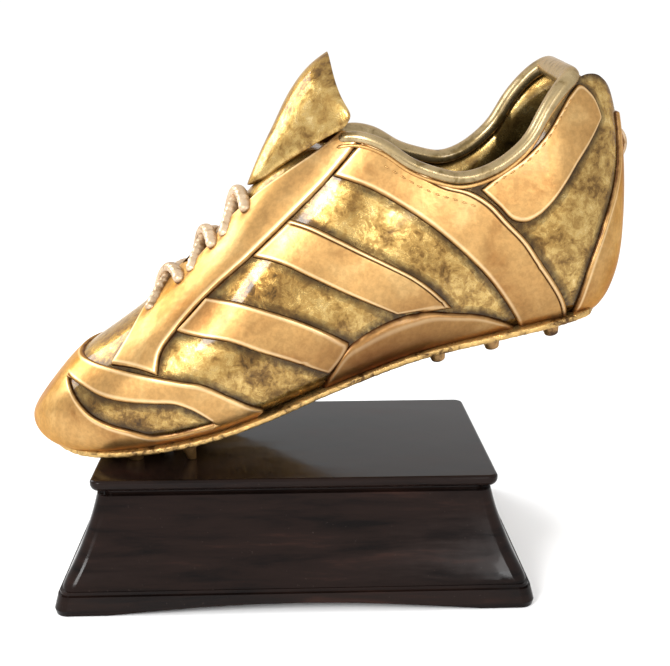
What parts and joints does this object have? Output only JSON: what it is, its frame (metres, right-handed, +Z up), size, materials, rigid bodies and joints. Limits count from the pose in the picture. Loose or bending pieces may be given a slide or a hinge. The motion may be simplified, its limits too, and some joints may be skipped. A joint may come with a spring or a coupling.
{
  "type": "boot trophy",
  "caption": "Gilded football boot trophy: a two-tone gold studded boot, toe down and heel raised, fixed on a glossy black plinth with flared sides and a moulded foot.",
  "frame": {"origin": "middle of the trophy's footprint box, on the plane that the plinth stands on", "axes": "+Z up, +X from the toe of the boot to its heel, -Y the outer (lateral) side of the boot, the side that is shown"},
  "size_m": [0.2322, 0.1174, 0.198],
  "materials": {
    "satin_gold": "satin",
    "antique_gold": "gloss",
    "collar_gold": "satin",
    "rough_gold": "satin",
    "bronze_studs": "satin",
    "dark_lining": "satin",
    "black_lacquer": "gloss",
    "black_felt": "matte",
    "zinc_steel": "satin",
    "brass_insert": "satin"
  },
  "bodies": {
    "root": {"plinth_cap": "black_lacquer", "plinth_block": "black_lacquer", "plinth_foot": "black_lacquer", "felt_pad": "black_felt", "fixing_bolt": "zinc_steel", "bolt_washer": "zinc_steel", "boot_insert": "brass_insert", "boot_body": "antique_gold", "insole": "dark_lining", "outsole": "rough_gold", "front_studs": "bronze_studs", "rear_studs": "bronze_studs", "toe_cap": "satin_gold", "heel_strip": "antique_gold", "collar_roll": "collar_gold", "tongue": "antique_gold", "lace_lower": "satin_gold", "lace_middle": "satin_gold", "lace_upper": "satin_gold", "heel_loop": "satin_gold", "eyestay_lateral": "satin_gold", "eyestay_medial": "satin_gold", "quarter_band_lateral": "satin_gold", "quarter_band_medial": "satin_gold", "rear_side_band_lateral": "satin_gold", "rear_side_band_medial": "satin_gold", "front_side_band_lateral": "satin_gold", "front_side_band_medial": "satin_gold", "ankle_panel_lateral": "satin_gold", "ankle_panel_medial": "satin_gold", "waist_saddle_lateral": "satin_gold", "waist_saddle_medial": "satin_gold"}
  },
  "joints": []
}
